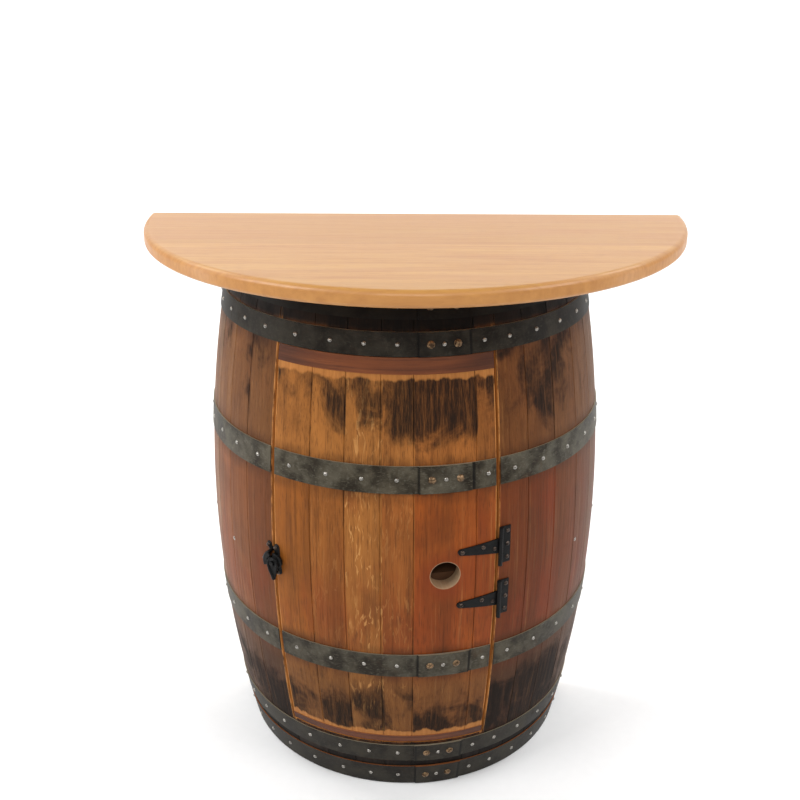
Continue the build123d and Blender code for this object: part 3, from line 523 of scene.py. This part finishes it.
def balls(stroke):
    """The centres and radii of the balls along a stroke, in metres.

    A stroke's points are right, up and out from the latch's pivot, then the ball's radius, in mm."""
    for first, last in zip(stroke, stroke[1:]):
        count = max(1, round(math.dist(first[:3], last[:3]) / BALL_SPACING))
        for i in range(count + 1):
            right, up, out, radius = [(a + (b - a) * i / count) / 1000 for a, b in zip(first, last)]
            yield PIVOT + RIGHT * right + UP * up + OUT * out, radius


def strung(name, strokes):
    """One mesh with a ball at every place along the strokes."""
    bm = bmesh.new()
    bmesh.ops.create_icosphere(bm, subdivisions=2, radius=1)
    ball_points = [point.co.copy() for point in bm.verts]
    ball_faces = [[point.index for point in face.verts] for face in bm.faces]
    bm.free()
    points, faces = [], []
    for stroke in strokes:
        for centre, radius in balls(stroke):
            faces += [[len(points) + corner for corner in face] for face in ball_faces]
            points += [centre + point * radius for point in ball_points]
    mesh = bpy.data.meshes.new(name)
    mesh.from_pydata(points, [], faces)
    return mesh


def cast(name, strokes, body):
    """A small iron casting: balls strung along strokes, melted together and smoothed."""
    piece = bpy.data.objects.new(name, strung(name, strokes))
    bpy.context.collection.objects.link(piece)
    melt = piece.modifiers.new("melt", "REMESH")
    melt.mode = "VOXEL"
    melt.voxel_size = MELT_SIZE
    ease = piece.modifiers.new("ease", "SMOOTH")
    ease.factor = 0.5
    ease.iterations = 5
    bpy.context.view_layer.update()
    depsgraph = bpy.context.evaluated_depsgraph_get()
    melted = bpy.data.meshes.new_from_object(piece.evaluated_get(depsgraph))
    piece.modifiers.clear()
    piece.data = melted
    melted.materials.clear()
    melted.materials.append(black_iron)
    melted.shade_smooth()
    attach(piece, body)
    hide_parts(name.replace("_casting", ""))


def base_casting():
    """A round body with a lug above and one below, and the post that the lever turns on."""
    cast("latch_base_casting", [
        round_pivot(9.5, 2.8, 3.1), round_pivot(5.5, 2.8, 3.1), round_pivot(1.5, 2.8, 3.0),
        [(0, 24.5, -2, 6.0), (0, 12, -2, 6.4)], [(3.5, -20, -2, 6.0), (2, -10, -2, 6.4)],
        [(0, 0, 3, 2.9), (0, 0, 13.6, 2.9)], round_pivot(2.6, 14.7, 1.5),
    ], "door")


def keeper_casting():
    """Two lugs and an arch, with a lip that bends in over the cam."""
    arch = []
    left, right, ribs = 202, 118, 28
    for i in range(ribs + 1):
        a = math.radians(left - (left - right) * i / ribs)
        x, y = math.cos(a), math.sin(a)
        arch.append([(20 * x, 20 * y, -1, 2.4), (20 * x, 20 * y, 10.4, 2.2)])
        arch.append([(19.4 * x, 19.4 * y, 11.4, 1.8), (13.3 * x, 13.3 * y, 11.3, 1.5)])
    cast("latch_keeper_casting", arch + [
        [(-16, 25.5, -2.5, 6.0), (-12.5, 19, -2, 5.6)], [(-27, -3, -2.5, 6.0), (-20, -3, -2, 5.2)],
    ], "frame")


def lever_casting():
    """A hub with a low cam, and a tail with a raised, curling ridge."""
    tail = [[(x, -5, 11.3, 2.4), (0.28 * x, -27.5, 11.3, 2.4)] for x in (-7.4, -5, -2.5, 0, 2.5, 5, 7.4)]
    cam = [round_pivot(r, 7.75, 1.35, 7, 99) for r in (15.1, 13.0, 11.0, 9.0)]
    cast("latch_lever_casting", tail + cam + [
        round_pivot(8.2, 7.75, 1.35), round_pivot(6.0, 7.75, 1.35), round_pivot(4.7, 7.75, 1.3),
        round_pivot(8.0, 11.2, 2.5), round_pivot(5.6, 11.2, 2.2),
        [(-5, 8, 12.4, 2.0), (-8.4, 3, 12.8, 2.4), (-8.0, -4, 13.4, 2.8), (-5, -13, 13.8, 3.0),
         (0, -22, 13.4, 3.2), (1.2, -27, 12.4, 3.9)],
    ], "lever")


base_casting()
keeper_casting()
lever_casting()


# ---- Studio ----------------------------------------------------------------------------------------
def pale_sweep():
    """A plain paper sweep: flat under the barrel, curving up well behind it."""
    half, front, start, bend, top = 8.0, -8.0, 1.6, 1.2, 5.0
    profile = [(front, 0.0), (start, 0.0)]
    steps = 16
    for i in range(1, steps + 1):
        a = math.radians(90 * i / steps)
        profile.append((start + bend * math.sin(a), bend * (1 - math.cos(a))))
    profile.append((start + bend, top))
    points = [(x, y, z) for x in (-half, half) for y, z in profile]
    n = len(profile)
    faces = [(i, i + n, i + n + 1, i + 1) for i in range(n - 1)]
    mesh = bpy.data.meshes.new("paper_sweep")
    mesh.from_pydata(points, [], faces)
    mesh.shade_smooth()
    sweep = bpy.data.objects.new("paper_sweep", mesh)
    bpy.context.collection.objects.link(sweep)
    f = Finish("paper_sweep")
    fibre = f.noise(f.place(), 60.0, 2.0, 0.5)
    mesh.materials.append(f.surface(Base_Color=f.mix(fibre, paint(244, 244, 244), paint(248, 248, 248)),
                                    Roughness=0.9))


def softbox(name, place, target, width, height, power):
    light = bpy.data.lights.new(name, "AREA")
    light.shape = "RECTANGLE"
    light.size, light.size_y = width, height
    light.energy = power
    lamp = bpy.data.objects.new(name, light)
    lamp.location = place
    lamp.rotation_euler = (Vector(target) - Vector(place)).to_track_quat("-Z", "Y").to_euler()
    bpy.context.collection.objects.link(lamp)


def camera():
    """Stands a little above the top and looks down at the barrel's middle."""
    data = bpy.data.cameras.new("front_camera")
    data.lens = 49.02
    data.sensor_width = 36
    eye = bpy.data.objects.new("front_camera", data)
    eye.location = (0.0116, -1.5855, 1.3606)
    looks_down, turns_left = 22.584, 1.16
    eye.rotation_euler = (math.radians(90 - looks_down), 0, math.radians(turns_left))
    bpy.context.collection.objects.link(eye)
    bpy.context.scene.camera = eye


pale_sweep()
softbox("left_softbox", (-2.0, -1.1, 2.4), (0, 0, 0.55), 1.3, 1.3, 46)
softbox("right_softbox", (2.0, -1.1, 2.4), (0, 0, 0.55), 1.3, 1.3, 34)
softbox("left_strip", (-2.6, 0.1, 1.0), (0, 0, 0.6), 0.5, 1.8, 12)
softbox("right_strip", (2.6, 0.1, 1.0), (0, 0, 0.6), 0.5, 1.8, 8)
softbox("front_softbox", (0, -2.8, 2.4), (0, 0, 0.45), 1.6, 1.0, 30)
softbox("sweep_left", (-1.7, 0.9, 2.4), (-0.9, 3.0, 0.2), 1.2, 1.2, 44)
softbox("sweep_right", (1.7, 0.9, 2.4), (0.9, 3.0, 0.2), 1.2, 1.2, 44)
world = bpy.data.worlds.new("studio_world")
world.use_nodes = True
world.node_tree.nodes["Background"].inputs[0].default_value = (1, 1, 1, 1)
world.node_tree.nodes["Background"].inputs[1].default_value = 0.14
bpy.context.scene.world = world
bpy.context.scene.view_settings.view_transform = "Standard"
camera()
